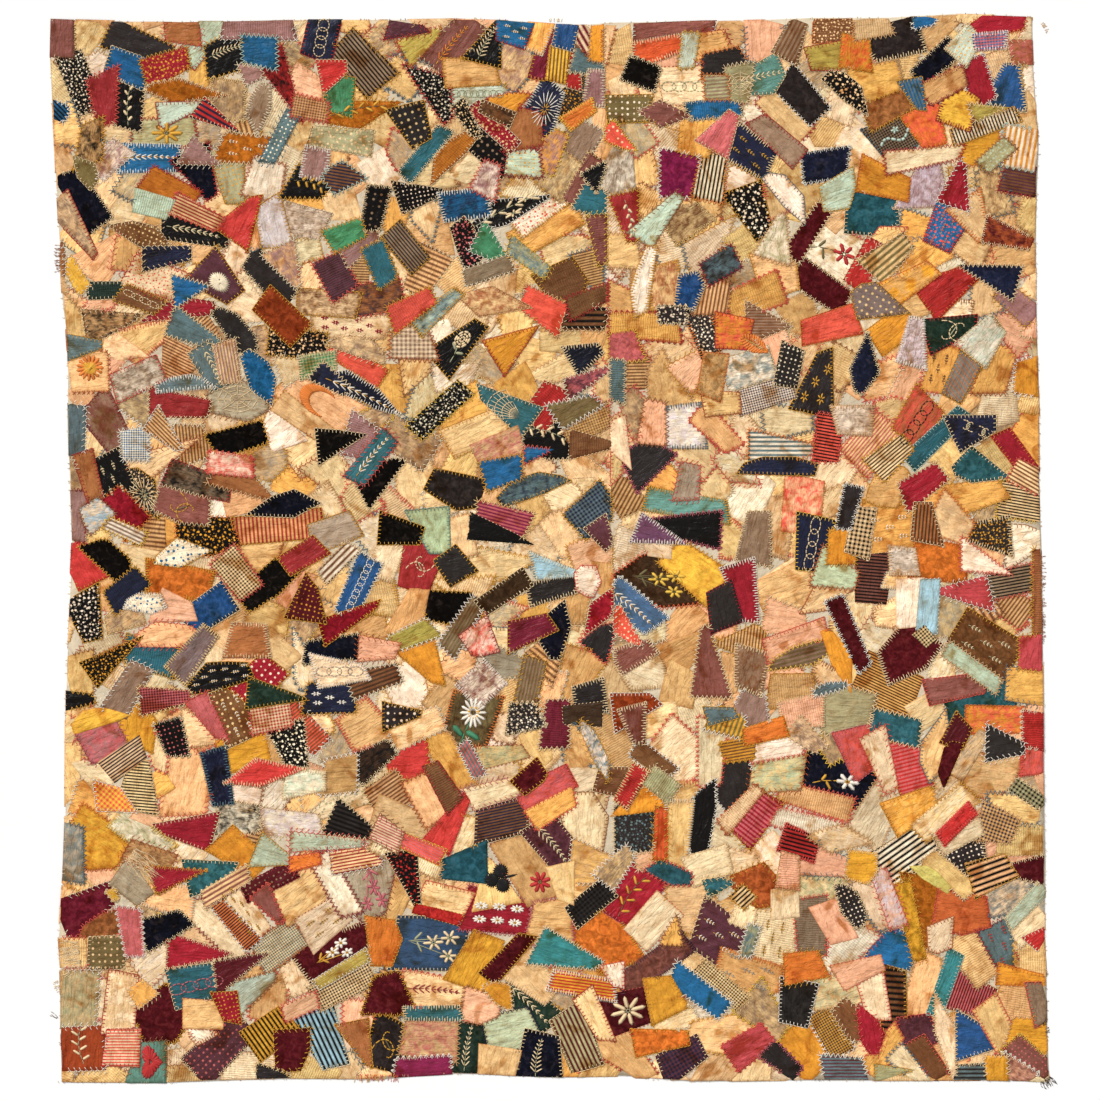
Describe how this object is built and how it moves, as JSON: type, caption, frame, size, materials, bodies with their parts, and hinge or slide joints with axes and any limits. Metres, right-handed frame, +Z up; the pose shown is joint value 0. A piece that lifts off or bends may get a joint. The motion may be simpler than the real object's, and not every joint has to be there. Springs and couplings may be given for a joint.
{
  "type": "crazy quilt",
  "caption": "Flat crazy quilt top of irregular silk, velvet and cotton patches with embroidered seams, lying face up.",
  "frame": {"origin": "middle of the quilt's length and width, on the surface that it lies on", "axes": "+Z up out of the patched face, +Y towards the quilt's top edge, +X to the right seen from above"},
  "size_m": [1.4966, 1.6018, 0.0061],
  "materials": {
    "patchwork": "satin",
    "embroidery_thread": "satin",
    "foundation_cotton": "matte"
  },
  "bodies": {
    "root": {"quilt_top": "patchwork"}
  },
  "joints": []
}
